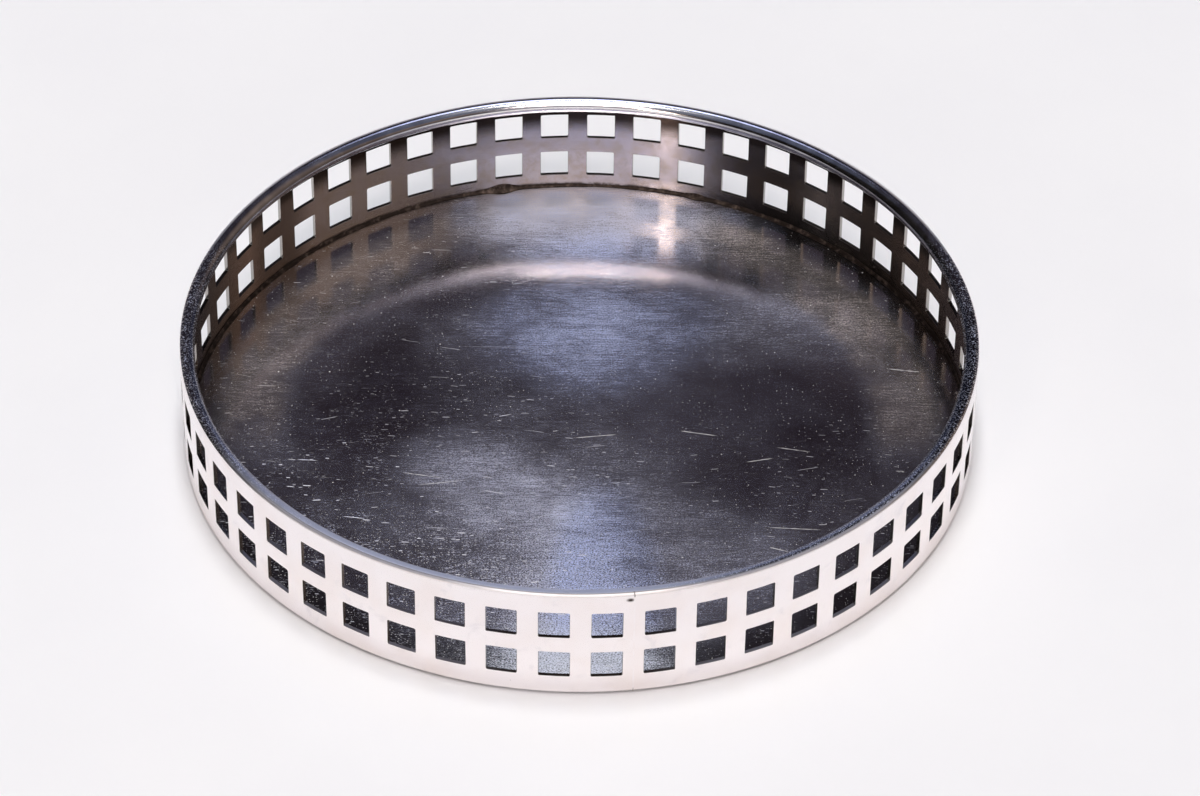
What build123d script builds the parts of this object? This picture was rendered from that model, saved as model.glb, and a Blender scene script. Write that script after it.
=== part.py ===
from build123d import *
import math
import os

# Wine bottle coaster: a pierced metal gallery round a flat floor, with a half-round wire inside its rim.
# Millimetres. +Z is up, the origin is the middle of the underside, and -Y is the front.

# Driving dimensions of the gallery band
outer_diameter = 128.0
band_thickness = 0.7
top_edge_round = 0.5
bottom_edge_chamfer = 0.25

# Pierced pattern, measured on the outside of the band
columns = 50
rows = 2
opening_width = 4.75
opening_height = 4.85
bar_between_rows = 3.0
plain_strip_below = 3.4
plain_strip_above = 3.6

# Butt joint of the band, counted in upright bars from the front
seam_bar = 1
seam_width = 0.2

# Half-round wire inside the rim
wire_height = 2.45
wire_depth = 1.7

# Base plate, which stands a little below the band
plate_thickness = 1.4
plate_standoff = 0.4
plate_edge_chamfer = 0.3

# Solder: the gap it runs into and the fillets it leaves
solder_gap = 0.05
base_fillet = 0.5
rim_fillet = 0.35

# How far a cutting tool reaches past each face of the band
tool_overrun = 1.0

# Share of a sheet's thickness that an eased edge may take
edge_limit = 0.9

# What follows from the driving dimensions
outer_radius = outer_diameter / 2
band_inner_radius = outer_radius - band_thickness
joint_radius = band_inner_radius - solder_gap
band_height = (plain_strip_below + rows * opening_height + (rows - 1) * bar_between_rows
               + plain_strip_above)
band_bottom = plate_standoff
band_top = band_bottom + band_height
wire_bottom = band_top - wire_height
column_angle = 360 / columns
opening_angle = math.degrees(opening_width / outer_radius)
seam_angle = math.degrees(seam_width / outer_radius)
front_angle = -90
seam_direction = front_angle + seam_bar * column_angle


def box_section(inner_radius, outer_reach, low, high):
    """Rectangle in the radius and height plane."""
    middle = Pos((inner_radius + outer_reach) / 2, (low + high) / 2)
    return middle * Rectangle(outer_reach - inner_radius, high - low)


def turned(section, angle=360):
    """Solid swept by a section round the upright axis, starting at +X."""
    return revolve(Plane.XZ * section, Axis.Z, angle)


def band_section():
    """Sheet strip on edge, with its outer top edge rounded over and its outer bottom edge eased."""
    section = box_section(band_inner_radius, outer_radius, band_bottom, band_top)
    outer_corners = section.vertices().group_by(Axis.X)[-1].sort_by(Axis.Y)
    section = fillet(outer_corners[-1], min(top_edge_round, edge_limit * band_thickness))
    outer_corners = section.vertices().group_by(Axis.X)[-1].sort_by(Axis.Y)
    return chamfer(outer_corners[0], min(bottom_edge_chamfer, edge_limit * band_thickness))


def opening_tools():
    """One wedge for each square opening: the sides of a rolled strip's openings point at the axis."""
    tools = []
    for row in range(rows):
        low = band_bottom + plain_strip_below + row * (opening_height + bar_between_rows)
        section = box_section(band_inner_radius - tool_overrun, outer_radius + tool_overrun,
                              low, low + opening_height)
        wedge = turned(section, opening_angle)
        for column in range(columns):
            middle = front_angle + (column + 0.5) * column_angle
            tools.append(Rot(0, 0, middle - opening_angle / 2) * wedge)
    return tools


def gallery_band():
    """Pierced strip rolled into a ring that is open by the width of its seam."""
    strip = turned(band_section(), 360 - seam_angle)
    strip = Rot(0, 0, seam_direction + seam_angle / 2) * strip
    return strip - opening_tools()


def band_seam():
    """Solder that fills the joint between the two ends of the strip."""
    return Rot(0, 0, seam_direction - seam_angle / 2) * turned(band_section(), seam_angle)


def rim_wire():
    """Half-round wire with its flat side against the band and its top level with the band's."""
    flat_side = Line((joint_radius, wire_bottom), (joint_radius, band_top))
    middle = (joint_radius, wire_bottom + wire_height / 2)
    round_side = EllipticalCenterArc(middle, wire_depth, wire_height / 2, 90, arc_size=180)
    return turned(make_face([flat_side, round_side]))


def base_plate():
    """Flat disc inside the band, with its lower edge eased where it stands clear."""
    disc = Pos(0, 0, plate_thickness / 2) * Cylinder(joint_radius, plate_thickness)
    lower_edge = disc.edges().sort_by(Axis.Z)[0]
    return chamfer(lower_edge, min(plate_edge_chamfer, edge_limit * plate_thickness))


def fillet_ring(leg, level, side):
    """Solder in the corner of the band and a level face: side is 1 above the face and -1 below it."""
    corner = (band_inner_radius, level)
    on_face = (band_inner_radius - leg, level)
    on_band = (band_inner_radius, level + side * leg)
    return turned(make_face(Polyline(corner, on_face, on_band, close=True)))


nodes = {
    "gallery_band": gallery_band(),
    "band_seam": band_seam(),
    "rim_wire": rim_wire(),
    "base_plate": base_plate(),
    "base_solder": fillet_ring(base_fillet, plate_thickness, 1),
    "rim_solder": fillet_ring(rim_fillet, wire_bottom, -1),
}

os.makedirs("parts", exist_ok=True)
for node, shape in nodes.items():
    export_step(shape, f"parts/{node}.step")
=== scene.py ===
import random
from math import atan2, cos, exp, pi, radians, remainder, sin, sqrt, tau

import bmesh
import bpy
from mathutils import Matrix, Vector, noise


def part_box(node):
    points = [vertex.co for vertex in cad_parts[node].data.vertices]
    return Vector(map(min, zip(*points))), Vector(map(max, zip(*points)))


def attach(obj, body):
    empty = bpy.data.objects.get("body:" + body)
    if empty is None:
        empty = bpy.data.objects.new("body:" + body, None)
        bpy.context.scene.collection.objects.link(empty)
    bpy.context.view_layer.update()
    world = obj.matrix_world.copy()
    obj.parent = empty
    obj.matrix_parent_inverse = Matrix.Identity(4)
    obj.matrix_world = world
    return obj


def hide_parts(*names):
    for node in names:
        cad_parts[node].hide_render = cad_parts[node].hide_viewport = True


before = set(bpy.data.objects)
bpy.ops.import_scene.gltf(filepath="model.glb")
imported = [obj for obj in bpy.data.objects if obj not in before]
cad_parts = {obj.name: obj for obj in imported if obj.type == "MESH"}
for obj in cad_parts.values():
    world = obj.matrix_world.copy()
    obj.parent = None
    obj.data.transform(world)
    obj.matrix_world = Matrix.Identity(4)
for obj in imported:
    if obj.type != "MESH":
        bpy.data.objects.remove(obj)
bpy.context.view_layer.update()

# Wine bottle coaster: pierced silver-plated gallery, half-round rim wire and a worn flat floor.
# Metres. +Z is up, the origin is the middle of the underside, and -Y is the front.

MM = 0.001
UP = Vector((0, 0, 1))

# Sizes read from the frame
BAND_LOW, BAND_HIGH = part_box("gallery_band")
WIRE_LOW, WIRE_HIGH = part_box("rim_wire")
SOLDER_LOW, SOLDER_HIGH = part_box("base_solder")
PLATE_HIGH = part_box("base_plate")[1]
OUTER_RADIUS = BAND_HIGH.x
INNER_RADIUS = SOLDER_HIGH.x
BAND_BOTTOM = BAND_LOW.z
BAND_TOP = BAND_HIGH.z
WIRE_BOTTOM = WIRE_LOW.z
WIRE_BACK = WIRE_HIGH.x
FLOOR_LEVEL = PLATE_HIGH.z
PLATE_RADIUS = PLATE_HIGH.x
SOLDER_RISE = SOLDER_HIGH.z - SOLDER_LOW.z
SHEET = OUTER_RADIUS - INNER_RADIUS

# Pierced pattern, measured on the outside of the band
COLUMNS = 50
ROWS = 2
OPENING_WIDTH = 4.75 * MM
OPENING_HEIGHT = 4.85 * MM
BAR_BETWEEN_ROWS = 3.0 * MM
PLAIN_STRIP_BELOW = 3.4 * MM
SEAM_BAR = 1
SEAM_WIDTH = 0.2 * MM
HALF_SEAM = SEAM_WIDTH / OUTER_RADIUS / 2
PITCH = tau / COLUMNS
FRONT = -pi / 2
SEAM_DIRECTION = FRONT + SEAM_BAR * PITCH

# Edges and sections
TOP_ROUND = 0.5 * MM
BOTTOM_EASE = 0.25 * MM
INNER_LIP = 0.05 * MM
PIERCED_EDGE = 0.09 * MM
CORNER_RADII = (0.08 * MM, 0.25 * MM)
WIRE_DEPTH = 1.7 * MM
PLATE_EASE = 0.3 * MM
RIM_SOLDER_LEG = 0.35 * MM
FILLET_HOLLOW = 0.8

# How far a hidden face is sunk into its neighbour
WIRE_SUNK = 0.05 * MM
WIRE_BACK_DROP = 0.01 * MM
SOLDER_SUNK = 0.03 * MM
SEAM_SUNK = 0.01 * MM

# How finely the meshes are cut; a tile and its opening have as many points to a side
STEPS = 8
RING_STEPS = COLUMNS * STEPS
CORNER_END = (45, 67.5, 90)
SIDE_SHARES = (0.25, 0.5, 0.75)
CORNER_START = (0, 22.5)
TOP_TURNS = (0, 22.5, 45, 67.5, 90)
BOTTOM_TURNS = (0, 45, 90)
WIRE_ARC_STEPS = 20
SOLDER_ARC_STEPS = 6
PLATE_STEPS = RING_STEPS // 2
FLOOR_RINGS = 40
SEAM_LEVELS = 40

# Unevenness of the hand-bent band: waves round the ring, as count, strength and phase
BAND_SWAY = 0.05 * MM
SWAY_AT_FOOT = 0.3
SWAY_WAVES = [(3, 1.0, 0.4), (5, 0.6, 2.1), (11, 0.3, 0.9)]

# Unevenness of the openings and the floor
OPENING_DRIFT = 0.05 * MM
OPENING_TILT = radians(0.5)
FLOOR_WAVE = 0.05 * MM
FLOOR_WAVE_SIZE = 24 * MM
FLOOR_WEAR = 0.5
FLOOR_RIPPLE = 0.35
FLOOR_RIPPLE_FINENESS = 2.7

# Unevenness of the solder, and its lumps: direction in degrees, width in radians and size
SOLDER_FINENESS = 9
SOLDER_SWELL = 0.35
SOLDER_RIPPLE = 0.2
SOLDER_RIPPLE_FINENESS = 4
FLOOR_SOLDER_SEED = 3.3
FLOOR_SOLDER_LUMPS = [(102, 0.035, 1.6), (71, 0.02, 0.7), (-160, 0.03, 0.8), (20, 0.025, 0.6),
                      (140, 0.02, 0.5)]
RIM_SOLDER_SEED = 7.9
RIM_SOLDER_LUMPS = [(55, 0.03, 0.6), (200, 0.03, 0.5)]
SEAM_SEED = 4.2
SEAM_RIPPLE = 0.8
SEAM_RIPPLE_SIZE = 1.5 * MM

chance = random.Random(11)


# Mesh building

def out(angle):
    """Level unit vector that points away from the axis."""
    return Vector((cos(angle), sin(angle), 0))


def along(angle):
    """Level unit vector along the ring, towards larger angles."""
    return Vector((-sin(angle), cos(angle), 0))


def at(angle, radius, height):
    """Point in the ring's own coordinates."""
    return Vector((radius * cos(angle), radius * sin(angle), height))


def placed(name, data):
    """New object in the scene."""
    body = bpy.data.objects.new(name, data)
    bpy.context.collection.objects.link(body)
    return body


def turn_outward(mesh):
    """Turn all faces of a closed mesh outward."""
    shape = bmesh.new()
    shape.from_mesh(mesh)
    bmesh.ops.recalc_face_normals(shape, faces=shape.faces)
    shape.to_mesh(mesh)
    shape.free()


class Shell:
    """Vertices with their own normals, and the faces between them."""

    def __init__(self):
        self.points = []
        self.normals = []
        self.faces = []

    def add(self, point, normal):
        """New vertex, given back as its number."""
        self.points.append(point)
        self.normals.append(normal.normalized())
        return len(self.points) - 1

    def bridge(self, first, second, closed=False):
        """Quads between two rows of as many vertices."""
        count = len(first)
        for k in range(count if closed else count - 1):
            following = (k + 1) % count
            self.faces.append((first[k], first[following], second[following], second[k]))

    def skin(self, rows, closed=False):
        """Quads between each row and the next."""
        for first, second in zip(rows, rows[1:]):
            self.bridge(first, second, closed)

    def piece(self, name, material, node, slot):
        """The finished piece, which stands for a node of the frame."""
        mesh = bpy.data.meshes.new(name)
        mesh.from_pydata(self.points, [], self.faces)
        turn_outward(mesh)
        mesh.shade_smooth()
        mesh.normals_split_custom_set_from_vertices(self.normals)
        mesh.materials.append(material)
        body = placed(name, mesh)
        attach(body, "root")
        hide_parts(node)
        return body


def sway(angle, height):
    """How far the hand-bent band strays from a true cylinder there."""
    rise = (height - BAND_BOTTOM) / (BAND_TOP - BAND_BOTTOM)
    slow = sum(strength * sin(count * angle + phase) for count, strength, phase in SWAY_WAVES)
    return BAND_SWAY * slow * (SWAY_AT_FOOT + (1 - SWAY_AT_FOOT) * rise)


def sway_slope(angle, height):
    """Lean of the band's surface there, to be added to its outward normal."""
    turn = 0.01
    change = sway(angle + turn, height) - sway(angle - turn, height)
    return along(angle) * (-change / (2 * turn * OUTER_RADIUS))


# Gallery band

def column_direction(step):
    """Direction of a mesh column, counted from one lip of the seam to the other."""
    lip = {0: HALF_SEAM, RING_STEPS: -HALF_SEAM}.get(step, 0)
    return SEAM_DIRECTION + step * PITCH / STEPS + lip


def row_level(step):
    """Height of a mesh row, counted in steps of a tile from the bottom of the pierced zone."""
    tile = OPENING_HEIGHT + BAR_BETWEEN_ROWS
    bottom = BAND_BOTTOM + PLAIN_STRIP_BELOW - BAR_BETWEEN_ROWS / 2
    return bottom + step * tile / STEPS


def opening_outline():
    """One slightly uneven square opening: points from its middle, each with its normal into the opening."""
    drift = Vector((chance.uniform(-1, 1), chance.uniform(-1, 1))) * OPENING_DRIFT
    half = Vector((OPENING_WIDTH + chance.uniform(-1, 1) * OPENING_DRIFT,
                   OPENING_HEIGHT + chance.uniform(-1, 1) * OPENING_DRIFT)) / 2
    tilt = Matrix.Rotation(chance.uniform(-1, 1) * OPENING_TILT, 2)
    radii = [chance.uniform(*CORNER_RADII) for corner in range(4)]
    outline = []
    for corner in range(4):
        here = [corner_point(half, radii, corner, turn) for turn in CORNER_END]
        ahead = [corner_point(half, radii, corner + 1, turn) for turn in CORNER_START]
        start, start_normal = here[-1]
        finish = ahead[0][0]
        between = [(start.lerp(finish, share), start_normal) for share in SIDE_SHARES]
        outline += here + between + ahead
    return [(tilt @ point + drift, tilt @ normal) for point, normal in outline]


def corner_point(half, radii, corner, turn):
    """Point of a rounded corner, counted from the bottom left, with its normal into the opening."""
    corner = corner % 4
    side_x, side_y = ((-1, -1), (1, -1), (1, 1), (-1, 1))[corner]
    heading = radians(180 + 90 * corner + turn)
    direction = Vector((cos(heading), sin(heading)))
    centre = Vector((side_x * (half.x - radii[corner]), side_y * (half.y - radii[corner])))
    return centre + direction * radii[corner], -direction


def tile_border(column, row):
    """Grid places round one tile of the pattern, in the order of an opening's outline."""
    left, right = column * STEPS, (column + 1) * STEPS
    low, high = row * STEPS, (row + 1) * STEPS
    bottom = [(left + k, low) for k in range(STEPS)]
    rising = [(right, low + k) for k in range(STEPS)]
    top = [(right - k, high) for k in range(STEPS)]
    falling = [(left, high - k) for k in range(STEPS)]
    return bottom + rising + top + falling


def edge_profile(radius, turns, level, side):
    """Section of an edge: depth under the outer face, height and normal. Side is 1 at the top, -1 below."""
    profile = []
    for turn in turns:
        lean = radians(turn)
        height = level - side * radius * (1 - sin(lean))
        profile.append((radius * (1 - cos(lean)), height, (cos(lean), side * sin(lean))))
    profile.append((SHEET - INNER_LIP, level, (0, side)))
    profile.append((SHEET, level - side * INNER_LIP, (-1, 0)))
    return profile


class BandMesh(Shell):
    """The band's shell, with a grid of vertices on both faces."""

    def __init__(self):
        super().__init__()
        self.grid = {}

    def on_sheet(self, angle, height, depth, normal):
        """Vertex at a depth under the outer face."""
        radius = OUTER_RADIUS - depth + sway(angle, height)
        return self.add(at(angle, radius, height), normal)

    def face_normal(self, angle, height, side):
        """Normal of the outer face, side 1, or the inner one, side -1."""
        return (out(angle) + sway_slope(angle, height)) * side

    def place(self, column, row, side):
        """The grid's own vertex, made once."""
        key = (column, row, side)
        if key not in self.grid:
            angle = column_direction(column)
            height = row_level(row)
            depth = 0 if side > 0 else SHEET
            normal = self.face_normal(angle, height, side)
            self.grid[key] = self.on_sheet(angle, height, depth, normal)
        return self.grid[key]

    def opening_ring(self, outline, middle, grown, depth, side):
        """One ring of vertices round an opening: on a face where side isn't 0, else on its wall."""
        angle_middle, height_middle = middle
        ring = []
        for point, inward in outline:
            spot = point - inward * grown
            angle = angle_middle + spot.x / OUTER_RADIUS
            height = height_middle + spot.y
            if side:
                normal = self.face_normal(angle, height, side)
            else:
                normal = along(angle) * inward.x + UP * inward.y
            ring.append(self.on_sheet(angle, height, depth, normal))
        return ring

    def tile(self, column, row):
        """One opening with the metal round it."""
        outline = opening_outline()
        middle = (SEAM_DIRECTION + (column + 0.5) * PITCH, row_level((row + 0.5) * STEPS))
        edge = PIERCED_EDGE
        rings = [
            [self.place(c, r, 1) for c, r in tile_border(column, row)],
            self.opening_ring(outline, middle, edge, 0, 1),
            self.opening_ring(outline, middle, 0, edge, 0),
            self.opening_ring(outline, middle, 0, SHEET - edge, 0),
            self.opening_ring(outline, middle, edge, SHEET, -1),
            [self.place(c, r, -1) for c, r in tile_border(column, row)],
        ]
        self.skin(rings, closed=True)

    def plain_strip(self, profile, row):
        """Edge of the band beyond the pierced zone, from its outer face round to its inner one."""
        rows = [[self.place(c, row, 1) for c in range(RING_STEPS + 1)]]
        for depth, height, (outward, upward) in profile:
            strip = []
            for c in range(RING_STEPS + 1):
                angle = column_direction(c)
                normal = self.face_normal(angle, height, 1) * outward + UP * upward
                strip.append(self.on_sheet(angle, height, depth, normal))
            rows.append(strip)
        rows.append([self.place(c, row, -1) for c in range(RING_STEPS + 1)])
        self.skin(rows)
        return rows

    def close_lip(self, top_rows, bottom_rows, column):
        """Face of one lip of the seam."""
        outer = [self.place(column, r, 1) for r in range(ROWS * STEPS + 1)]
        inner = [self.place(column, r, -1) for r in range(ROWS * STEPS + 1)]
        self.bridge(outer, inner)
        spot = 0 if column == 0 else -1
        for rows in (top_rows, bottom_rows):
            self.faces.append(tuple(row[spot] for row in rows))


def gallery_band(material):
    """Pierced strip, rolled into a ring that is open by the width of its seam."""
    shell = BandMesh()
    for column in range(COLUMNS):
        for row in range(ROWS):
            shell.tile(column, row)
    top_rows = shell.plain_strip(edge_profile(TOP_ROUND, TOP_TURNS, BAND_TOP, 1), ROWS * STEPS)
    bottom_rows = shell.plain_strip(edge_profile(BOTTOM_EASE, BOTTOM_TURNS, BAND_BOTTOM, -1), 0)
    for column in (0, RING_STEPS):
        shell.close_lip(top_rows, bottom_rows, column)
    return shell.piece("pierced_gallery", material, "gallery_band", "silver_plate")


# Pieces turned round the axis

def turned_shell(section, strays=None):
    """Closed ring from a closed section: a function of the angle that gives radius, height and normal."""
    shell = Shell()
    rows = []
    for k in range(RING_STEPS):
        angle = tau * k / RING_STEPS
        row = []
        for radius, height, (outward, upward) in section(angle):
            stray = strays(angle, height) if strays else 0
            normal = out(angle) * outward + UP * upward
            row.append(shell.add(at(angle, radius + stray, height), normal))
        rows.append(row)
    shell.skin(rows + rows[:1], closed=True)
    return shell


def wire_section(angle):
    """Half-round section, the same at every angle, with its flat back just inside the band."""
    middle = (WIRE_BOTTOM + BAND_TOP) / 2
    half_height = (BAND_TOP - WIRE_BOTTOM) / 2
    back = INNER_RADIUS + WIRE_SUNK
    points = [(back, BAND_TOP - WIRE_BACK_DROP, (0, 1))]
    for k in range(WIRE_ARC_STEPS + 1):
        turn = pi / 2 + pi * k / WIRE_ARC_STEPS
        outward, upward = cos(turn), sin(turn)
        normal = (outward / WIRE_DEPTH, upward / half_height)
        points.append((WIRE_BACK + WIRE_DEPTH * outward, middle + half_height * upward, normal))
    points.append((back, WIRE_BOTTOM + WIRE_BACK_DROP, (0, -1)))
    return points


def rim_wire(material):
    """Half-round wire inside the top of the band."""
    shell = turned_shell(wire_section, strays=sway)
    return shell.piece("half_round_rim", material, "rim_wire", "silver_plate")


def uneven(angle, seed, lumps):
    """Size of a run of solder there, about 1, with a few lumps."""
    place = out(angle) * SOLDER_FINENESS + UP * seed
    ripple = SOLDER_RIPPLE * noise.noise(place * SOLDER_RIPPLE_FINENESS)
    size = 1 + SOLDER_SWELL * noise.noise(place) + ripple
    for direction, width, gain in lumps:
        gap = remainder(angle - radians(direction), tau)
        size += gain * exp(-(gap / width) ** 2)
    return size


def solder_section(leg, level, side):
    """Hollow fillet in the corner of the band and a level face: side is 1 above the face, -1 below it."""
    wall = INNER_RADIUS + SOLDER_SUNK
    flat = 1 - FILLET_HOLLOW
    points = [(wall, level - side * SOLDER_SUNK, (1, -side))]
    for k in range(SOLDER_ARC_STEPS + 1):
        share = k / SOLDER_ARC_STEPS
        turn = pi / 2 * share
        inward = leg * (1 - FILLET_HOLLOW * sin(turn) - flat * share)
        upward = leg * (1 - FILLET_HOLLOW * cos(turn) - flat * (1 - share))
        normal = (-sin(turn), side * cos(turn))
        points.append((INNER_RADIUS - inward, level + side * upward, normal))
    points.append((wall, level + side * leg, (1, side)))
    return points


def base_solder(material):
    """Solder round the inside corner of floor and wall, lumpy in places."""

    def section(angle):
        leg = SOLDER_RISE * uneven(angle, FLOOR_SOLDER_SEED, FLOOR_SOLDER_LUMPS)
        return solder_section(leg, FLOOR_LEVEL, 1)

    return turned_shell(section).piece("floor_solder", material, "base_solder", "solder")


def rim_solder(material):
    """Small run of solder under the rim wire."""

    def section(angle):
        leg = RIM_SOLDER_LEG * uneven(angle, RIM_SOLDER_SEED, RIM_SOLDER_LUMPS)
        return solder_section(leg, WIRE_BOTTOM, -1)

    return turned_shell(section).piece("rim_solder_run", material, "rim_solder", "solder")


def floor_height(x, y):
    """Height of the worn floor, which is nearly flat but not quite."""
    place = Vector((x, y, 0)) / FLOOR_WAVE_SIZE
    wave = noise.noise(place) + FLOOR_RIPPLE * noise.noise(place * FLOOR_RIPPLE_FINENESS)
    return FLOOR_LEVEL + FLOOR_WAVE * (wave - FLOOR_WEAR)


def floor_normal(x, y):
    """Normal of the worn floor."""
    step = 0.5 * MM
    rise_x = (floor_height(x + step, y) - floor_height(x - step, y)) / (2 * step)
    rise_y = (floor_height(x, y + step) - floor_height(x, y - step)) / (2 * step)
    return Vector((-rise_x, -rise_y, 1))


def base_plate(material):
    """Flat disc inside the band, with a slightly wavy worn top and an eased lower edge."""
    shell = Shell()
    angles = [tau * k / PLATE_STEPS for k in range(PLATE_STEPS)]
    rows = []
    for ring in range(1, FLOOR_RINGS + 1):
        radius = PLATE_RADIUS * ring / FLOOR_RINGS
        row = []
        for angle in angles:
            x, y = radius * cos(angle), radius * sin(angle)
            row.append(shell.add(Vector((x, y, floor_height(x, y))), floor_normal(x, y)))
        rows.append(row)
    middle = shell.add(Vector((0, 0, floor_height(0, 0))), floor_normal(0, 0))
    below = [(PLATE_RADIUS, FLOOR_LEVEL - 2 * FLOOR_WAVE, (1, 0)), (PLATE_RADIUS, PLATE_EASE, (1, -0.4)),
             (PLATE_RADIUS - PLATE_EASE, 0, (0.4, -1)), (PLATE_RADIUS - 2 * PLATE_EASE, 0, (0, -1)),
             (PLATE_RADIUS / 2, 0, (0, -1)), (PLATE_RADIUS / 20, 0, (0, -1))]
    for radius, height, (outward, upward) in below:
        rows.append([shell.add(at(angle, radius, height), out(angle) * outward + UP * upward)
                     for angle in angles])
    bottom_middle = shell.add(Vector((0, 0, 0)), -UP)
    shell.skin(rows, closed=True)
    for k in range(PLATE_STEPS):
        following = (k + 1) % PLATE_STEPS
        shell.faces.append((middle, rows[0][k], rows[0][following]))
        shell.faces.append((bottom_middle, rows[-1][k], rows[-1][following]))
    return shell.piece("worn_floor", material, "base_plate", "worn_floor_silver")


def band_seam(material):
    """Solder that fills the joint of the band, a little sunk in both faces."""
    shell = Shell()
    half = HALF_SEAM
    rows = []
    for k in range(SEAM_LEVELS + 1):
        height = BAND_BOTTOM + (BAND_TOP - BAND_BOTTOM) * k / SEAM_LEVELS
        ripple = noise.noise(Vector((0, SEAM_SEED, height / SEAM_RIPPLE_SIZE)))
        hollow = SEAM_SUNK * (1 + SEAM_RIPPLE * ripple)
        near_top = min(max(0, height - (BAND_TOP - TOP_ROUND)), TOP_ROUND)
        rounding = TOP_ROUND - sqrt(TOP_ROUND ** 2 - near_top ** 2)
        row = []
        for turn, depth, side in ((-half, 0, 1), (0, hollow, 1), (half, 0, 1),
                                  (half, SHEET, -1), (0, SHEET - hollow, -1), (-half, SHEET, -1)):
            angle = SEAM_DIRECTION + turn
            inset = depth + (rounding if side > 0 else 0)
            radius = OUTER_RADIUS - min(inset, SHEET) + sway(angle, height)
            row.append(shell.add(at(angle, radius, height - SEAM_SUNK / 2), out(angle) * side))
        rows.append(row)
    shell.skin(rows, closed=True)
    shell.faces.append(tuple(rows[0]))
    shell.faces.append(tuple(rows[-1]))
    return shell.piece("seam_solder", material, "band_seam", "solder")


# Node trees

# Bow of a scratch as a share of half its length, full core of a speck, and how rare bright ones are
SCRATCH_BOW = 0.12
SCRATCH_RARITY = 9
SPECK_CORE = 0.4
SPECK_RARITY = 2


class Nodes:
    """A node tree under construction. A value is a number, a colour or another node's output."""

    def __init__(self, tree):
        self.tree = tree
        tree.nodes.clear()

    def node(self, kind, inputs=None, **settings):
        """New node with its settings and inputs."""
        made = self.tree.nodes.new("ShaderNode" + kind)
        for name, value in settings.items():
            setattr(made, name, value)
        for name, value in (inputs or {}).items():
            self.feed(made.inputs[name], value)
        return made

    def feed(self, socket, value):
        """Link an output to a socket, or set the socket's own value."""
        if isinstance(value, bpy.types.NodeSocket):
            self.tree.links.new(value, socket)
        else:
            socket.default_value = value

    def vector(self, operation, first, second=(0, 0, 0)):
        made = self.node("VectorMath", {0: first, 1: second}, operation=operation)
        return made.outputs["Value" if operation in ("DOT_PRODUCT", "LENGTH") else "Vector"]

    def math(self, operation, first, second=0.0):
        return self.node("Math", {0: first, 1: second}, operation=operation).outputs[0]

    def joined(self, operation, values):
        """All values put together by one operation."""
        result = values[0]
        for value in values[1:]:
            result = self.math(operation, result, value)
        return result

    def times(self, *values):
        return self.joined("MULTIPLY", values)

    def total(self, *values):
        return self.joined("ADD", values)

    def most(self, *values):
        return self.joined("MAXIMUM", values)

    def unsigned(self, value):
        return self.math("ABSOLUTE", value)

    def split(self, vector):
        return self.node("SeparateXYZ", {0: vector}).outputs

    def fade(self, value, start, end, low=0.0, high=1.0):
        """Smooth step from low at start to high at end."""
        inputs = {"Value": value, "From Min": start, "From Max": end, "To Min": low, "To Max": high}
        return self.node("MapRange", inputs, interpolation_type="SMOOTHSTEP").outputs["Result"]

    def blend(self, share, first, second):
        """Colour from first, at share 0, to second, at share 1."""
        return self.node("Mix", {0: share, 6: first, 7: second}, data_type="RGBA").outputs[2]


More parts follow.
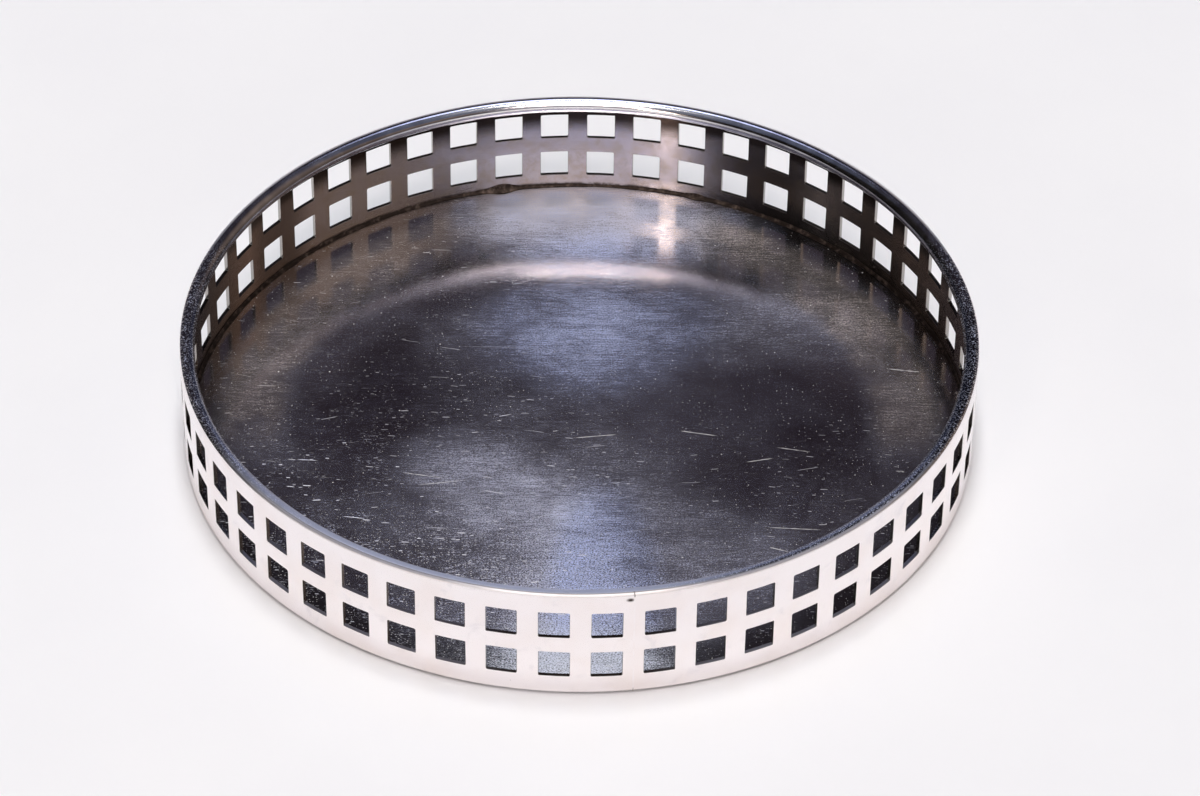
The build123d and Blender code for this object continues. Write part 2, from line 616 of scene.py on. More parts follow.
class Finish(Nodes):
    """A material under construction. Lengths inside it are in millimetres.

    Rising is 1 where the surface faces up, and facing is 1 where it faces away from the axis.
    """

    def __init__(self, name):
        self.material = bpy.data.materials.new(name)
        self.material.use_nodes = True
        super().__init__(self.material.node_tree)
        self.place = self.vector("DIVIDE", self.node("TexCoord").outputs["Object"], (MM, MM, MM))
        self.across, self.deep, self.height = self.split(self.place)
        self.off_middle = self.unsigned(self.across)
        self.level_place = self.vector("MULTIPLY", self.place, (1, 1, 0))
        self.radius = self.vector("LENGTH", self.level_place)
        self.outward = self.vector("NORMALIZE", self.level_place)
        normal = self.node("NewGeometry").outputs["Normal"]
        self.rising = self.split(normal)[2]
        self.facing = self.vector("DOT_PRODUCT", normal, self.outward)

    def zone(self, **fades):
        """Where all the fades meet, each over the place or facing that it is named for."""
        return self.times(*[self.fade(getattr(self, name), *fade) for name, fade in fades.items()])

    def clouds(self, scale, detail=3.0, roughness=0.5, place=None, distortion=0.0):
        """Noise from 0 to 1; scale is the number of features in a millimetre."""
        inputs = {"Vector": place or self.place, "Scale": scale, "Detail": detail, "Roughness": roughness,
                  "Distortion": distortion}
        return self.node("TexNoise", inputs).outputs[0]

    def cells(self, size, shift, dimensions):
        """The place, shifted, and the random cells of about that size in it."""
        moved = self.vector("ADD", self.place, shift)
        return moved, self.node("TexVoronoi", {"Vector": moved, "Scale": 1 / size},
                                voronoi_dimensions=dimensions).outputs

    def turned(self, vector, turn):
        """The two level coordinates of a vector turned about the upright axis."""
        made = self.node("VectorRotate", {"Vector": vector, "Angle": turn}, rotation_type="Z_AXIS")
        return self.split(made.outputs[0])[0:2]

    def streak(self, turn, length, width, detail, roughness=0.5):
        """Noise drawn out in one direction, into features of that length and width."""
        lengthways, sideways = self.turned(self.place, turn)
        spot = {0: self.math("DIVIDE", lengthways, length), 1: self.math("DIVIDE", sideways, width), 2: turn}
        place = self.node("CombineXYZ", spot).outputs[0]
        return self.clouds(1.0, detail, roughness, place)

    def stroke(self, lengthways, sideways, width, reach):
        """Soft-edged line: 1 in its middle, 0 beyond its width and reach."""
        body = self.fade(self.unsigned(sideways), 0, width, 1, 0)
        ends = self.fade(self.unsigned(lengthways), reach / 2, reach, 1, 0)
        return self.times(body, ends)

    def scratches(self, cell, width, reach, spread, shift):
        """Slightly bent scratches, one to a cell of about that size: 1 in the middle of a bright one."""
        moved, cells = self.cells(cell, (shift, -2 * shift, 0), "2D")
        local = self.vector("SUBTRACT", moved, cells["Position"])
        chances = self.split(cells["Color"])
        turn = self.times(self.math("SUBTRACT", chances[0], 0.5), spread)
        lengthways, sideways = self.turned(local, turn)
        bend = self.times(self.math("SUBTRACT", chances[1], 0.5), SCRATCH_BOW / reach)
        bow = self.times(lengthways, lengthways, bend)
        line = self.stroke(lengthways, self.total(sideways, bow), width, reach)
        return self.times(line, self.math("POWER", chances[2], SCRATCH_RARITY))

    def specks(self, cell, size, share, shift, dimensions="2D"):
        """Small round specks, some paler, in some of the cells of about that size."""
        cells = self.cells(cell, (shift, shift, shift), dimensions)[1]
        spot = self.fade(cells["Distance"], SPECK_CORE * size / cell, size / cell, 1, 0)
        chances = self.split(cells["Color"])
        paleness = self.math("POWER", chances[1], SPECK_RARITY)
        return self.times(spot, self.math("LESS_THAN", chances[0], share), paleness)

    def mark(self, start, end, width):
        """One straight scratch between two places on the floor."""
        start, end = Vector(start), Vector(end)
        middle = (start + end) / 2
        turn = atan2(end.y - start.y, end.x - start.x)
        local = self.vector("SUBTRACT", self.place, (*middle, 0))
        lengthways, sideways = self.turned(local, -turn)
        return self.stroke(lengthways, sideways, width, (end - start).length / 2)

    def patch(self, middle, size, strength=1.0):
        """Soft oval patch on the floor: full in its middle, 0 at its edge."""
        local = self.vector("SUBTRACT", self.level_place, (*middle, 0))
        share = self.vector("DIVIDE", local, (*size, 1))
        return self.fade(self.vector("LENGTH", share), 1, 0, 0, strength)

    def bump(self, height, depth, normal=None):
        """Normal of a surface raised by height times depth, in millimetres."""
        inputs = {"Height": height, "Distance": depth * MM, "Strength": 1.0}
        if normal is not None:
            inputs["Normal"] = normal
        return self.node("Bump", inputs).outputs[0]

    def metal(self, colour, roughness, normal):
        inputs = {"Base Color": colour, "Roughness": roughness, "Normal": normal, "Metallic": 1.0}
        return self.node("BsdfPrincipled", inputs)

    def powder(self, colour, roughness):
        return self.node("BsdfPrincipled", {"Base Color": colour, "Roughness": roughness})

    def mixed(self, share, first, second):
        """Shader from first, at share 0, to second, at share 1."""
        inputs = {0: share, 1: first.outputs[0], 2: second.outputs[0]}
        return self.node("MixShader", inputs)

    def done(self, shader):
        """The finished material."""
        self.node("OutputMaterial", {"Surface": shader.outputs[0]})
        return self.material


# Colours of the metal
SILVER = (0.955, 0.905, 0.905, 1)
WARM_SILVER = (0.92, 0.85, 0.83, 1)
# Rubbed silver is tinted blue as a painted reflection of bluish light
RUBBED_SILVER = (0.86, 0.88, 1.0, 1)
SMUDGED_SILVER = (0.76, 0.72, 0.74, 1)
PALE_SILVER = (0.66, 0.64, 0.69, 1)
GREY_SILVER = (0.46, 0.44, 0.49, 1)
DULL_SILVER = (0.45, 0.42, 0.44, 1)
CUT_SILVER = (0.42, 0.40, 0.38, 1)
BROWNED_SILVER = (0.38, 0.33, 0.29, 1)
PAINTED_SHADE_SILVER = (0.28, 0.27, 0.30, 1)
DEEP_BROWN_SILVER = (0.27, 0.17, 0.12, 1)
SHADED_SILVER = (0.14, 0.14, 0.17, 1)
RUBBED_SOLDER = (0.24, 0.18, 0.15, 1)
TARNISH = (0.30, 0.25, 0.22, 1)
DARK_TARNISH_AND_SHADE = (0.04, 0.03, 0.025, 1)

# Colours of the floor: its mirror, its haze, with painted reflection colours in its blue, pale and warm
# tints, and its dust, whose white also paints glints
FLOOR_SILVER = (0.84, 0.81, 0.84, 1)
STAINED_FLOOR = (0.62, 0.56, 0.56, 1)
PAINTED_SHADE_FLOOR = (0.34, 0.27, 0.32, 1)
DARK_FLOOR = (0.20, 0.16, 0.15, 1)
HAZE = (0.73, 0.73, 0.85, 1)
BLUE_HAZE = (0.67, 0.72, 0.96, 1)
PALE_HAZE = (0.92, 0.93, 1.0, 1)
WARM_HAZE = (0.78, 0.69, 0.66, 1)
DUST_AND_GLINT_WHITE = (0.85, 0.83, 0.82, 1)

# Each fade below says where it starts and ends, and its values there where they aren't 0 and 1.
# It runs over noise, over a place in millimetres, or over how the surface faces.

# Outside of the band
WARMED = (0.35, 0.7)
SMUDGED = (0.56, 0.72, 0, 0.5)

# Inside of the band; its stretches of painted shade are direction and width in degrees, and how black
TURNED_INWARD = (0.35, -0.35)
BROWNED = (0.35, 0.75)
# The inside turns a deeper brown towards the left and right
BROWNER_SIDES = (38, 58, 0, 0.75)
# Painted shade: the inside goes black just under the rim wire
SHADE_UNDER_RIM = (WIRE_BOTTOM / MM - 5.5, WIRE_BOTTOM / MM - 1.5)
AT_FLOOR = (FLOOR_LEVEL / MM + 1.0, FLOOR_LEVEL / MM + 0.4)
GRIMY_CORNER = (0.3, 0.6)
PAINTED_SHADE_STRETCHES = [(60, 13, 0.9), (40, 12, 0.5), (143, 8, 0.6), (168, 20, 0.75)]

# Walls of the openings, with painted shade on their sills and heads
PIERCED_MARGINS = (0.4, 0.2)
CUT_FACING = (0.85, 0.5)
LEVEL_RISING = (0.4, 0.8)

# Pits, and a small dark smear on the front under the rim
PIT_DARKNESS = 0.4
STAIN_PLACE = (7.4, -63.6, 19.0)
STAIN_SIZE = (0.85, 0.85, 0.5)
STAIN_EDGE = (1, 0.2)

# Top edge of the band, with painted shade on both sides of the front, and rubbed
PAINTED_SHADE_TOP = {"rising": (0.5, 0.85), "deep": (-15, -40, 0, 0.85), "off_middle": (8, 24)}
RUBBED_FRONT = (-25, -50, 0, 0.5)
RUBBED_REAR = (10, 35, 0, 0.3)
RUBBED_GRAIN = (0.55, 0.63, 0, 0.35)
RUBBED_TOP = (0.25, 0.7)

# Roughness of the band and depths of its relief, in millimetres
BAND_ROUGHNESS = (0.2, 0.8, 0.12, 0.24)
HAIRLINE_STRETCH = (1, 1, 9)
HAIRLINE_DEPTH = 0.003
DENT_DEPTH = 0.02


def browned_silver(f, grime):
    """Dulled silver, browned in places."""
    return f.blend(f.fade(grime, *BROWNED), DULL_SILVER, BROWNED_SILVER)


def rim_grain(f):
    """Fine grain of the rim and of the band's top edge."""
    return f.clouds(4.2, detail=2, roughness=0.75)


def band_outside(f):
    """Polished silver, warmer in places and faintly smudged."""
    wear = f.clouds(0.12, detail=5)
    smudges = f.clouds(0.2, detail=5, roughness=0.6, distortion=0.7)
    clean = f.blend(f.fade(wear, *WARMED), SILVER, WARM_SILVER)
    return f.blend(f.fade(smudges, *SMUDGED), clean, SMUDGED_SILVER)


def band_inside(f, grime):
    """Browned silver, browner at the sides, tarnished black at the floor, and painted shade: black under the
    rim and in a few stretches.
    """
    tone = f.blend(f.fade(f.off_middle, *BROWNER_SIDES), browned_silver(f, grime), DEEP_BROWN_SILVER)
    at_floor = f.times(f.fade(f.height, *AT_FLOOR), f.fade(grime, *GRIMY_CORNER))
    # Painted shade under the rim and in the stretches; the black at the floor is tarnish in the corner
    black = f.most(f.fade(f.height, *SHADE_UNDER_RIM), at_floor)
    for direction, width, amount in PAINTED_SHADE_STRETCHES:
        nearness = f.vector("DOT_PRODUCT", f.outward, out(radians(direction)))
        black = f.most(black, f.fade(nearness, cos(radians(width)), 1, 0, amount))
    return f.blend(black, tone, DARK_TARNISH_AND_SHADE)


def opening_walls(f):
    """Where a surface is the wall of an opening, and where it is the sill or head of one."""
    low = (BAND_BOTTOM + PLAIN_STRIP_BELOW) / MM
    high = low + (ROWS * OPENING_HEIGHT + (ROWS - 1) * BAR_BETWEEN_ROWS) / MM
    off_zone = f.unsigned(f.math("SUBTRACT", f.height, (low + high) / 2))
    pierced = f.fade(off_zone, *[(high - low) / 2 + margin for margin in PIERCED_MARGINS])
    cut = f.times(pierced, f.fade(f.unsigned(f.facing), *CUT_FACING))
    level = f.times(cut, f.fade(f.unsigned(f.rising), *LEVEL_RISING))
    return cut, level


def band_colour(f, grime):
    """Both faces of the band, its openings with painted shade on their sills and heads, pits, stain, and
    painted shade on the top edge beside the front.
    """
    inward = f.fade(f.facing, *TURNED_INWARD)
    colour = f.blend(inward, band_outside(f), band_inside(f, grime))
    cut, level = opening_walls(f)
    colour = f.blend(cut, colour, CUT_SILVER)
    # Painted shade: the sills and heads of the openings go near black
    colour = f.blend(level, colour, DARK_TARNISH_AND_SHADE)
    pits = f.specks(cell=2.6, size=0.13, share=0.3, shift=3.1, dimensions="3D")
    colour = f.blend(f.times(pits, PIT_DARKNESS), colour, DARK_TARNISH_AND_SHADE)
    off_stain = f.vector("DIVIDE", f.vector("SUBTRACT", f.place, STAIN_PLACE), STAIN_SIZE)
    colour = f.blend(f.fade(f.vector("LENGTH", off_stain), *STAIN_EDGE), colour, DARK_TARNISH_AND_SHADE)
    # Painted shade darkens the top edge on both sides of the front
    return f.blend(f.zone(**PAINTED_SHADE_TOP), colour, PAINTED_SHADE_SILVER)


def band_roughness(f, grime):
    """Polished, but rubbed along the top: in front, at the rear and in its grain."""
    ends = f.total(f.fade(f.deep, *RUBBED_FRONT), f.fade(f.deep, *RUBBED_REAR))
    rubbed = f.most(ends, f.fade(rim_grain(f), *RUBBED_GRAIN))
    rubbed = f.times(rubbed, f.fade(f.rising, *RUBBED_TOP))
    return f.total(f.fade(grime, *BAND_ROUGHNESS), rubbed)


def silver_band():
    """Polished silver plate outside, dulled and browned on the inside, with fine hairlines and dents."""
    f = Finish("silver_band")
    grime = f.clouds(0.5, detail=6, roughness=0.65)
    hairlines = f.clouds(0.9, detail=4, place=f.vector("MULTIPLY", f.place, HAIRLINE_STRETCH))
    dents = f.bump(f.clouds(0.22, detail=2), DENT_DEPTH)
    normal = f.bump(hairlines, HAIRLINE_DEPTH, dents)
    return f.done(f.metal(band_colour(f, grime), band_roughness(f, grime), normal))


# Polish of the rim: a painted highlight at the rear, and painted shade on the right and on the inner side at
# the sides
RIM_PATCHES = (0.35, 0.65)
PAINTED_HIGHLIGHT_REAR = {"deep": (25, 45), "off_middle": (32, 14)}
PAINTED_SHADE_RIGHT = {"across": (10, 34), "deep": (14, -12)}
SHADED_RIGHT = {"across": (48, 58), "deep": (12, -4)}
PAINTED_SHADE_INSIDE = {"rising": (0.85, 0.6), "off_middle": (14, 34), "deep": (35, 10, 0.35, 1)}
RIM_POLISH = 0.12

# Rubbed grain of the rim, and its rubbed front
RIM_GRAIN = (0.55, 0.63)
GRAIN_PATCHES = (0.3, 0.6, 0.4, 0.9)
GRAIN_BEFORE_REAR = (28, 6, 0.1, 1)
RUBBED_RIM_FRONT = {"deep": (-25, -55, 0, 0.75), "across": (30, 6, 0.08, 1)}
RIM_RUB = 0.5
RIM_GRAIN_DEPTH = 0.002
KNOCK_DEPTH = 0.008


def rim_tone(f, patches):
    """Colour of the rim's polish: grey, brightened at the rear as a painted highlight, and darkened on the
    right and on its inner side at the sides as painted shade.
    """
    tone = f.blend(f.fade(patches, *RIM_PATCHES), GREY_SILVER, PALE_SILVER)
    for zone, colour in ((PAINTED_HIGHLIGHT_REAR, SILVER), (PAINTED_SHADE_RIGHT, PAINTED_SHADE_SILVER), (SHADED_RIGHT, SHADED_SILVER),
                         (PAINTED_SHADE_INSIDE, DARK_TARNISH_AND_SHADE)):
        tone = f.blend(f.zone(**zone), tone, colour)
    return tone


def silver_rim():
    """Rim wire: polished, with a fine bright grain except at the rear, and rubbed grey in front."""
    f = Finish("silver_rim")
    grain = rim_grain(f)
    patches = f.clouds(0.25, detail=4)
    knocks = f.bump(f.clouds(0.6, detail=3), KNOCK_DEPTH)
    normal = f.bump(grain, RIM_GRAIN_DEPTH, knocks)
    polished = f.metal(rim_tone(f, patches), RIM_POLISH, normal)
    rubbed = f.metal(RUBBED_SILVER, RIM_RUB, normal)
    specks = f.times(f.fade(grain, *RIM_GRAIN), f.fade(patches, *GRAIN_PATCHES),
                     f.fade(f.deep, *GRAIN_BEFORE_REAR))
    return f.done(f.mixed(f.most(specks, f.zone(**RUBBED_RIM_FRONT)), polished, rubbed))


# Long bright scratches in the floor, painted white as glints: their ends, in millimetres
LONG_MARKS = [
    ((50.8, 13.1), (56.8, 12.2)),
    ((29.4, -26.8), (38.9, -27.4)),
    ((-1.4, -5.0), (6.7, -4.0)),
    ((16.0, -3.0), (22.8, -4.4)),
    ((26.7, -10.9), (31.6, -9.8)),
    ((-26.0, -16.8), (-17.4, -15.4)),
    ((31.7, -7.1), (37.7, -8.3)),
    ((50.8, -13.0), (52.4, -13.2)),
    ((29.7, -31.5), (33.1, -32.7)),
    ((-28.7, -13.6), (-21.4, -15.1)),
]
MARK_WIDTH = 0.12
MARK_GAPS = (0.3, 0.6, 0.3, 1)

# Short scratches: size of a cell, half width, half length, spread of directions, shift of the pattern
SCRATCH_SETS = [
    (1.6, 0.100, 0.36, 0.30, 0),
    (3.2, 0.120, 0.75, 0.35, 17),
    (7.0, 0.090, 2.00, 0.60, 41),
    (24.0, 0.060, 9.00, 0.70, 73),
]
SCRATCH_BRIGHTNESS = 2.2
SCRATCH_CLUSTERS = (0.38, 0.65, 0.5, 1.2)
SCRATCHED_FRONT_LEFT = {"deep": (8, -25, 0.25, 1), "across": (22, -12, 0.3, 1)}
MOST_SCRATCHED = ((-17, -38), (26, 20), 0.9)

# Fine dashes of wear: direction, length and width
DASH_SETS = [(0.03, 1.2, 0.16), (-0.12, 0.8, 0.14), (0.20, 0.6, 0.14)]
DASHES = (0.65, 0.75)
DASH_PATCHES = (0.35, 0.7, 0, 0.5)

# Polishing streaks: direction, length and width
STREAK_SETS = [(0.05, 4.0, 0.10), (-0.10, 2.0, 0.08), (0.02, 9.0, 0.16)]

# Hazier patches of the floor: middle and size in millimetres, and how hazy
HAZE_PATCHES = [
    ((-0.5, -58), (14, 46), 1.36),
    ((-1, -63), (21, 20), 0.90),
    ((-2, -42), (34, 30), 0.30),
    ((-9, -21), (16, 14), 0.58),
    ((-19, -11), (15, 11), 0.44),
    ((4, -18), (21, 17), 0.10),
    ((14, -27), (18, 15), 0.12),
    ((-27, -24), (15, 12), 0.12),
    ((24, -36), (19, 15), 0.20),
    ((3, 24), (22, 23), 0.52),
    ((22, 24), (18, 16), 0.12),
    ((-15, 22), (15, 14), 0.14),
    ((5, 53), (33, 17.5), 1.25),
    ((38, 26), (20, 16), 0.18),
    ((0, 0), (36, 46), 0.07),
]
RAGGED_STRETCH = (0.6, 1, 0)
RAGGED = (0.3, 0.7, 0.55, 1.4)

# Hazy ring near the wall, on both sides of the rear half
HAZY_RING = {"radius": (45, 51), "off_middle": (14, 32), "deep": (-16, 8, 0, 0.16)}
RING_OUTSIDE = (61, 56)

# Patches of painted shade on the floor: middle and size in millimetres, and how dark
DARK_PATCHES = [
    ((-29, 6), (30, 22), 0.75),
    ((37, -5), (26, 26), 0.70),
    ((27, -18), (18, 14), 0.40),
]

# Salt and pepper near the front wall; its grain is direction, length and width
GRITTY_FRONT = {"deep": (-16, -38, 0, 0.9), "across": (30, 0, 0.4, 1)}
GRIT_GRAIN = (0.03, 0.32, 0.13)
GRIT_CONTRAST = (0.40, 0.62)

# What else the share of haze depends on, and how much the scratches add to it
THIN_CLOUDS = (0.40, 0.7, 0.0, 0.06)
CLEARER_EDGE = (50, 60, 1, 0.3)
HAZE_GRAIN = (0.3, 0.7, 0.4, 1.6)
HAZE_STREAKS = (0.46, 0.76, 0.4, 1.9)
SCRATCH_HAZE = 0.5
MOST_HAZE = 0.95

# Tones of the floor's mirror, with a painted highlight at the rear and painted shade at the front edge, and
# of its haze, which is bluer in two patches as painted reflection
STAINS = (0.38, 0.62)
PAINTED_BRIGHT_REAR = {"radius": (36, 44), "deep": (0, 15)}
PAINTED_SHADE_FRONT_EDGE = {"radius": (52, 61), "deep": (10, -30, 0, 0.85)}
BLUER_PATCHES = [((3, 26), (30, 32)), ((4, -46), (13, 42))]
BLUER = (0, 0.5)
PALE_FRONT = (-46, -58)
WARM_RING = (0, 0.12)

# Roughness of the floor, which is duller in one patch, and depths of its relief, in millimetres
FLOOR_POLISH = (0.4, 0.7, 0.09, 0.16)
DULLER_PATCH = ((-4, 62), (28, 20), 0.3)
HAZE_ROUGHNESS = 0.6
DUST_AND_GLINT_ROUGHNESS = 0.8
SCRATCH_DEPTH = -0.008
STREAK_DEPTH = 0.001

# Dust, and grains of painted glint: size of a cell, size of a speck, share of cells with one, shift of the
# pattern
DUST_SETS = [(2.4, 0.11, 0.4, 9), (0.9, 0.07, 0.5, 21), (9.0, 0.16, 0.5, 33)]
GLINT_GRAIN_SET = (0.5, 0.12, 0.6, 57)
GLINTY_FRONT_LEFT = {"deep": (-14, -36, 0, 0.85), "across": (18, -14, 0.3, 1)}
SCRATCH_GLINT_WHITENESS = 0.8
MARK_GLINT_WHITENESS = 0.85


def floor_streaks(f):
    """Fine polishing streaks, nearly from side to side: bright where the noise is high."""
    return f.most(*[f.streak(*values, detail=2, roughness=0.75) for values in STREAK_SETS])


def floor_dashes(f):
    """Dense fine dashes of wear, nearly from side to side."""
    dashes = f.most(*[f.streak(*values, detail=1) for values in DASH_SETS])
    return f.times(f.fade(dashes, *DASHES), f.fade(f.clouds(0.4, detail=3), *DASH_PATCHES))


def floor_lines(f):
    """Short scratches and dashes, most of them in front on the left: 1 in the middle of a bright one."""
    scratches = f.most(*[f.scratches(*values) for values in SCRATCH_SETS])
    lines = f.most(f.times(scratches, SCRATCH_BRIGHTNESS), floor_dashes(f))
    clusters = f.clouds(0.07, detail=4, roughness=0.6, distortion=0.5)
    share = f.total(f.zone(**SCRATCHED_FRONT_LEFT), f.patch(*MOST_SCRATCHED))
    return f.math("MINIMUM", f.times(lines, f.fade(clusters, *SCRATCH_CLUSTERS), share), 1.0)


def floor_marks(f):
    """The few long bright scratches of the floor, broken in places."""
    marks = f.most(*[f.mark(start, end, MARK_WIDTH) for start, end in LONG_MARKS])
    return f.times(marks, f.fade(f.clouds(0.8, detail=2), *MARK_GAPS))


def floor_bloom(f):
    """How strongly the hazier patches of the floor show, and its hazy ring, with ragged edges."""
    edges = f.clouds(0.1, detail=5, roughness=0.6, place=f.vector("MULTIPLY", f.place, RAGGED_STRETCH),
                     distortion=0.8)
    ragged = f.fade(edges, *RAGGED)
    bloom = f.total(*[f.patch(*values) for values in HAZE_PATCHES])
    ring = f.times(f.zone(**HAZY_RING), f.fade(f.radius, *RING_OUTSIDE))
    return f.times(bloom, ragged), f.times(ring, ragged)


def floor_painted_shade(f):
    """How dark the floor's patches of painted shade are."""
    return f.most(*[f.patch(*values) for values in DARK_PATCHES])


def floor_grit(f):
    """Salt and pepper near the front wall: a factor about 1."""
    strength = f.zone(**GRITTY_FRONT)
    grains = f.streak(*GRIT_GRAIN, detail=2, roughness=0.7)
    return f.fade(grains, *GRIT_CONTRAST, f.math("SUBTRACT", 1, strength), f.total(1, strength))


def floor_haze(f, bloom, ring, shade_patches, streaks, lines):
    """Share of the floor's surface that is scuffed rather than polished."""
    thin = f.fade(f.clouds(0.05, detail=5, roughness=0.6, distortion=1.0), *THIN_CLOUDS)
    thin = f.times(thin, f.math("SUBTRACT", 1, shade_patches), f.fade(f.radius, *CLEARER_EDGE))
    share = f.total(thin, bloom, ring)
    share = f.times(share, f.fade(f.clouds(5.0, detail=1), *HAZE_GRAIN), floor_grit(f),
                    f.fade(streaks, *HAZE_STREAKS))
    return f.math("MINIMUM", f.total(share, f.times(lines, SCRATCH_HAZE)), MOST_HAZE)


def floor_tone(f, shade_patches):
    """Colour of the floor's mirror: stained, with painted shade in its dark patches and at the front edge,
    and a painted highlight brightening it at the rear.
    """
    stains = f.clouds(0.035, detail=4, roughness=0.55, distortion=0.6)
    tone = f.blend(f.fade(stains, *STAINS), FLOOR_SILVER, STAINED_FLOOR)
    tone = f.blend(shade_patches, tone, PAINTED_SHADE_FLOOR)
    tone = f.blend(f.zone(**PAINTED_BRIGHT_REAR), tone, SILVER)
    return f.blend(f.zone(**PAINTED_SHADE_FRONT_EDGE), tone, DARK_FLOOR)


def haze_tone(f, ring):
    """Colour of the floor's haze, with painted reflection colours: bluer in patches, paler at the very front
    as a painted highlight, and warmer in the ring.
    """
    bluer = f.most(*[f.patch(*values) for values in BLUER_PATCHES])
    tone = f.blend(f.fade(bluer, *BLUER), HAZE, BLUE_HAZE)
    tone = f.blend(f.fade(f.deep, *PALE_FRONT), tone, PALE_HAZE)
    return f.blend(f.fade(ring, *WARM_RING), tone, WARM_HAZE)


def floor_specks(f, lines):
    """Dust, and painted glints: fine white grains and white along the scratches and long marks."""
    dust = [f.specks(*values) for values in DUST_SETS]
    # Painted glints: white grains at the front left, and white along the scratches and long marks
    grains = f.times(f.specks(*GLINT_GRAIN_SET), f.zone(**GLINTY_FRONT_LEFT))
    return f.most(*dust, grains, f.times(lines, SCRATCH_GLINT_WHITENESS), f.times(floor_marks(f), MARK_GLINT_WHITENESS))


def worn_floor():
    """Floor: still a dim mirror, under hazy patches, polishing streaks, scratches and dust, with painted
    glints, painted shade and a painted highlight in its colours.
    """
    f = Finish("worn_floor")
    streaks = floor_streaks(f)
    lines = floor_lines(f)
    bloom, ring = floor_bloom(f)
    shade_patches = floor_painted_shade(f)
    normal = f.bump(lines, SCRATCH_DEPTH, f.bump(streaks, STREAK_DEPTH))
    roughness = f.total(f.fade(streaks, *FLOOR_POLISH), f.patch(*DULLER_PATCH))
    polished = f.metal(floor_tone(f, shade_patches), roughness, normal)
    hazy = f.metal(haze_tone(f, ring), HAZE_ROUGHNESS, normal)
    metal = f.mixed(floor_haze(f, bloom, ring, shade_patches, streaks, lines), polished, hazy)
    return f.done(f.mixed(floor_specks(f, lines), metal, f.powder(DUST_AND_GLINT_WHITE, DUST_AND_GLINT_ROUGHNESS)))


# Solder in the corners
SOLDER_RUBBED = (0.45, 0.8)
SOLDER_ROUGHNESS = (0.2, 0.8, 0.4, 0.65)
SOLDER_GRAIN_DEPTH = 0.03

# Solder of the band's joint, and its tarnished ends
SEAM_WARMED = (0.4, 0.75)
SEAM_TOP = (BAND_TOP / MM - 0.9, BAND_TOP / MM - 0.3)
SEAM_FOOT = (BAND_BOTTOM / MM + 0.9, BAND_BOTTOM / MM + 0.3)
SEAM_TARNISH = 0.5
SEAM_ROUGHNESS = (0.2, 0.8, 0.14, 0.28)
SEAM_DEPTH = 0.005


def dull_solder():
    """Solder in the corners: nearly black and tarnished, and brown where it was rubbed."""
    f = Finish("dull_solder")
    grime = f.clouds(0.9, detail=6, roughness=0.65)
    grain = f.clouds(4, detail=3)
    colour = f.blend(f.fade(grime, *SOLDER_RUBBED), DARK_TARNISH_AND_SHADE, RUBBED_SOLDER)
    return f.done(f.metal(colour, f.fade(grain, *SOLDER_ROUGHNESS), f.bump(grain, SOLDER_GRAIN_DEPTH)))


def seam_solder():
    """Solder of the band's joint: plated over outside, tarnished at its two ends and browned inside."""
    f = Finish("seam_solder")
    grime = f.clouds(0.8, detail=5, roughness=0.65)
    outside = f.blend(f.fade(grime, *SEAM_WARMED), SILVER, WARM_SILVER)
    ends = f.most(f.fade(f.height, *SEAM_TOP), f.fade(f.height, *SEAM_FOOT))
    outside = f.blend(f.times(ends, SEAM_TARNISH), outside, TARNISH)
    # Painted shade: the inside goes black just under the rim
    inside = f.blend(f.fade(f.height, *SHADE_UNDER_RIM), browned_silver(f, grime), DARK_TARNISH_AND_SHADE)
    colour = f.blend(f.fade(f.facing, *TURNED_INWARD), outside, inside)
    return f.done(f.metal(colour, f.fade(grime, *SEAM_ROUGHNESS), f.bump(grime, SEAM_DEPTH)))


# Table, light and camera

TABLE_RADIUS = 4.0
TABLE_STEPS = 64
TABLE_WHITE = (0.93, 0.93, 0.945, 1)
TABLE_PALE_WHITE = (0.95, 0.95, 0.96, 1)
TABLE_MARKS = (0.3, 0.7)
TABLE_ROUGHNESS = 0.7


def white_table():
    """Smooth white table top."""
    f = Finish("white_table")
    marks = f.clouds(0.02, detail=3)
    colour = f.blend(f.fade(marks, *TABLE_MARKS), TABLE_WHITE, TABLE_PALE_WHITE)
    return f.done(f.powder(colour, TABLE_ROUGHNESS))


def table(material):
    """Large round table top under the coaster."""
    mesh = bpy.data.meshes.new("table")
    rim = [at(tau * k / TABLE_STEPS, TABLE_RADIUS, 0) for k in range(TABLE_STEPS)]
    mesh.from_pydata(rim, [], [tuple(range(TABLE_STEPS))])
    mesh.materials.append(material)
    body = placed("table", mesh)


# Light of the dim room, from its walls up to its ceiling; a height is the sine of the elevation
WALL_TO_DUSK = (0.55, 0.40)
DUSK_LIGHT = (0.024, 0.019, 0.025, 1)
WALL_LIGHT = (0.030, 0.034, 0.056, 1)
CEILING = (0.74, 0.90)
CEILING_LIGHT = (0.09, 0.105, 0.15, 1)

# Soft round glows: azimuth, elevation, inner and outer radius in degrees, and light
WALL_GLOWS = [
    (0, 40, 20, 50, (0.22, 0.17, 0.135, 1)),
    (180, 40, 25, 55, (0.012, 0.010, 0.008, 1)),
    (90, 15, 8, 18, (0.30, 0.34, 0.50, 1)),
]
UPPER_GLOWS = [
    (-90, 42, 15, 25, (0.30, 0.29, 0.33, 1)),
    (-90, 62, 9, 14, (7.0, 6.4, 6.2, 1)),
    (90, 58, 4, 10, (1.60, 1.80, 2.60, 1)),
]

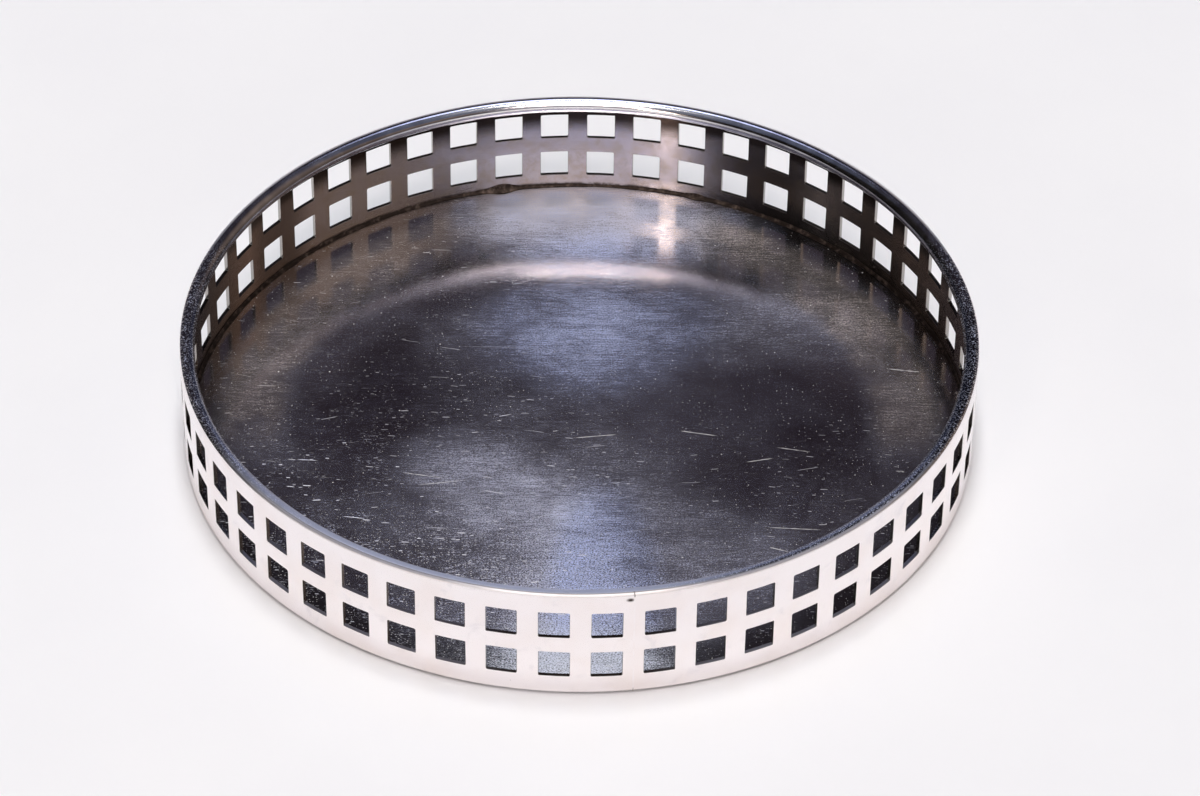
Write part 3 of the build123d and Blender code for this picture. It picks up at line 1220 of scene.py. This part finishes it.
# Pale horizon, behind the coaster and on the camera's side, where it reaches higher
REAR_HORIZON = (0.14, 0.04)
REAR_HORIZON_LIGHT = (0.45, 0.47, 0.55, 1)
CAMERA_HORIZON = (0.12, 0.02)
CAMERA_HORIZON_LIGHT = (0.85, 0.85, 0.87, 1)
HORIZON_RISE = 0.32
BEHIND_CAMERA = (-0.1, -0.6)
REAR_TO_CAMERA = (0.4, -0.1)


class Sky(Nodes):
    """The world's light by direction, under construction."""

    def __init__(self, name):
        world = bpy.data.worlds.new(name)
        bpy.context.scene.world = world
        world.use_nodes = True
        super().__init__(world.node_tree)
        self.direction = self.node("TexCoord").outputs["Generated"]
        self.deep, self.height = self.split(self.direction)[1:3]

    def glows(self, light, table):
        """The light with soft-edged round glows over it."""
        for azimuth, elevation, inner, outer, colour in table:
            toward = at(radians(azimuth), cos(radians(elevation)), sin(radians(elevation)))
            nearness = self.vector("DOT_PRODUCT", self.direction, toward)
            share = self.fade(nearness, cos(radians(outer)), cos(radians(inner)))
            light = self.blend(share, light, colour)
        return light

    def done(self, light):
        background = self.node("Background", {"Color": light})
        self.node("OutputWorld", {"Surface": background.outputs[0]})


def room():
    """Dim room with glows at its sides, behind the coaster and over the camera, above a pale horizon."""
    s = Sky("room")
    light = s.blend(s.fade(s.height, *WALL_TO_DUSK), DUSK_LIGHT, WALL_LIGHT)
    light = s.glows(light, WALL_GLOWS)
    light = s.blend(s.fade(s.height, *CEILING), light, CEILING_LIGHT)
    light = s.glows(light, UPPER_GLOWS)
    behind = s.blend(s.fade(s.height, *REAR_HORIZON), light, REAR_HORIZON_LIGHT)
    over_horizon = s.math("SUBTRACT", s.height, s.times(s.fade(s.deep, *BEHIND_CAMERA), HORIZON_RISE))
    before = s.blend(s.fade(over_horizon, *CAMERA_HORIZON), light, CAMERA_HORIZON_LIGHT)
    s.done(s.blend(s.fade(s.deep, *REAR_TO_CAMERA), behind, before))


# Lamps: place and target in metres, size, power in watts and colour
LAMPS = {
    "overhead": ((0, 0.2, 3.0), (0, 0, 0), (0.6, 1.0), 47.0, (0.985, 1.0, 1.0)),
    "warm_side": ((-0.24, -0.50, 0.53), (0, 0.05, 0.01), (0.09, 0.2), 0.4, (1.0, 0.86, 0.74)),
}


def lights():
    """Large soft lamp overhead and a small warm one left of the camera, both rectangular."""
    for name, (place, target, size, power, colour) in LAMPS.items():
        lamp = bpy.data.lights.new(name, "AREA")
        lamp.shape = "RECTANGLE"
        lamp.size, lamp.size_y = size
        lamp.energy = power
        lamp.color = colour
        body = placed(name, lamp)
        body.location = place
        body.rotation_euler = (Vector(target) - Vector(place)).to_track_quat("-Z", "Y").to_euler()


# Camera, found by fitting the rows of openings to the photograph
IMAGE_WIDTH = 1200
FOCAL_PIXELS = 4486.1
CAMERA_DISTANCE = 561.5 * MM
CAMERA_HEIGHT = 468.2 * MM
CAMERA_SWING = radians(-0.582)
CAMERA_HEADING = radians(-0.933)
CAMERA_PITCH = radians(39.476)
CAMERA_ROLL = radians(0.785)


def camera():
    """Camera at the photograph's place and angle."""
    lens = bpy.data.cameras.new("camera")
    lens.sensor_fit = "HORIZONTAL"
    lens.lens = lens.sensor_width * FOCAL_PIXELS / IMAGE_WIDTH
    place = at(FRONT + CAMERA_SWING, CAMERA_DISTANCE, CAMERA_HEIGHT)
    heading = Matrix.Rotation(CAMERA_HEADING, 4, "Z")
    pitch = Matrix.Rotation(pi / 2 - CAMERA_PITCH, 4, "X")
    roll = Matrix.Rotation(CAMERA_ROLL, 4, "Z")
    body = placed("camera", lens)
    body.matrix_world = Matrix.Translation(place) @ heading @ pitch @ roll
    bpy.context.scene.camera = body


gallery_band(silver_band())
rim_wire(silver_rim())
base_plate(worn_floor())
solder = dull_solder()
base_solder(solder)
rim_solder(solder)
band_seam(seam_solder())
table(white_table())
room()
lights()
camera()
bpy.context.scene.view_settings.view_transform = "Standard"
